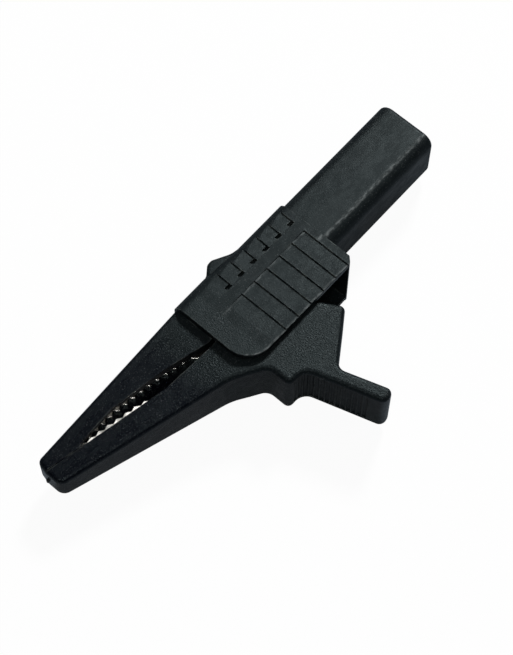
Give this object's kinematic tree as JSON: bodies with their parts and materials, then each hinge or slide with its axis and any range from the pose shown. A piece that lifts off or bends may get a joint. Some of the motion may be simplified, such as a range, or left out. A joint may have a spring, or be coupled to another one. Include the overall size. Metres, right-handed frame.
{
  "type": "insulated crocodile clip",
  "caption": "Insulated spring test clip with toothed metal jaws in a moulded shell, a ribbed collar, a finger grip and a 4 mm safety plug socket at the rear.",
  "frame": {"origin": "centre of the contact sleeve's mouth, on the axis of the 4 mm socket", "axes": "+X out of the socket, so the jaws point to -X; +Y towards the finger ridge; +Z is the thickness, up when the clip lies on its side"},
  "size_m": [0.0919, 0.0399, 0.0146],
  "materials": {
    "black_moulding": "spark-eroded grain, soft sheen",
    "insert_moulding": "smooth moulded",
    "nickel_brass": "turned, nickel plated",
    "nickel_steel": "stamped, bright nickel plated",
    "bright_steel": "plain bright steel",
    "spring_steel": "drawn wire"
  },
  "bodies": {
    "clip_body": {"body_shell": "black_moulding", "socket_insert": "insert_moulding", "contact_sleeve": "nickel_brass", "upper_jaw": "nickel_steel", "contact_screw": "bright_steel", "lock_washer": "bright_steel", "pivot_pin": "bright_steel", "spacer_bush": "nickel_brass", "torsion_spring": "spring_steel"},
    "lever": {"lever_shell": "black_moulding", "lower_jaw": "nickel_steel"}
  },
  "joints": [
    {"name": "jaw_hinge", "type": "hinge", "parent": "clip_body", "child": "lever", "pos_m": [-0.046, 0, 0], "axis": [0, 0, 1], "range_deg": [0, 24], "stiffness_Nm_per_rad": 0.09, "springref_deg": -45.84, "deforming": ["torsion_spring"]}
  ]
}
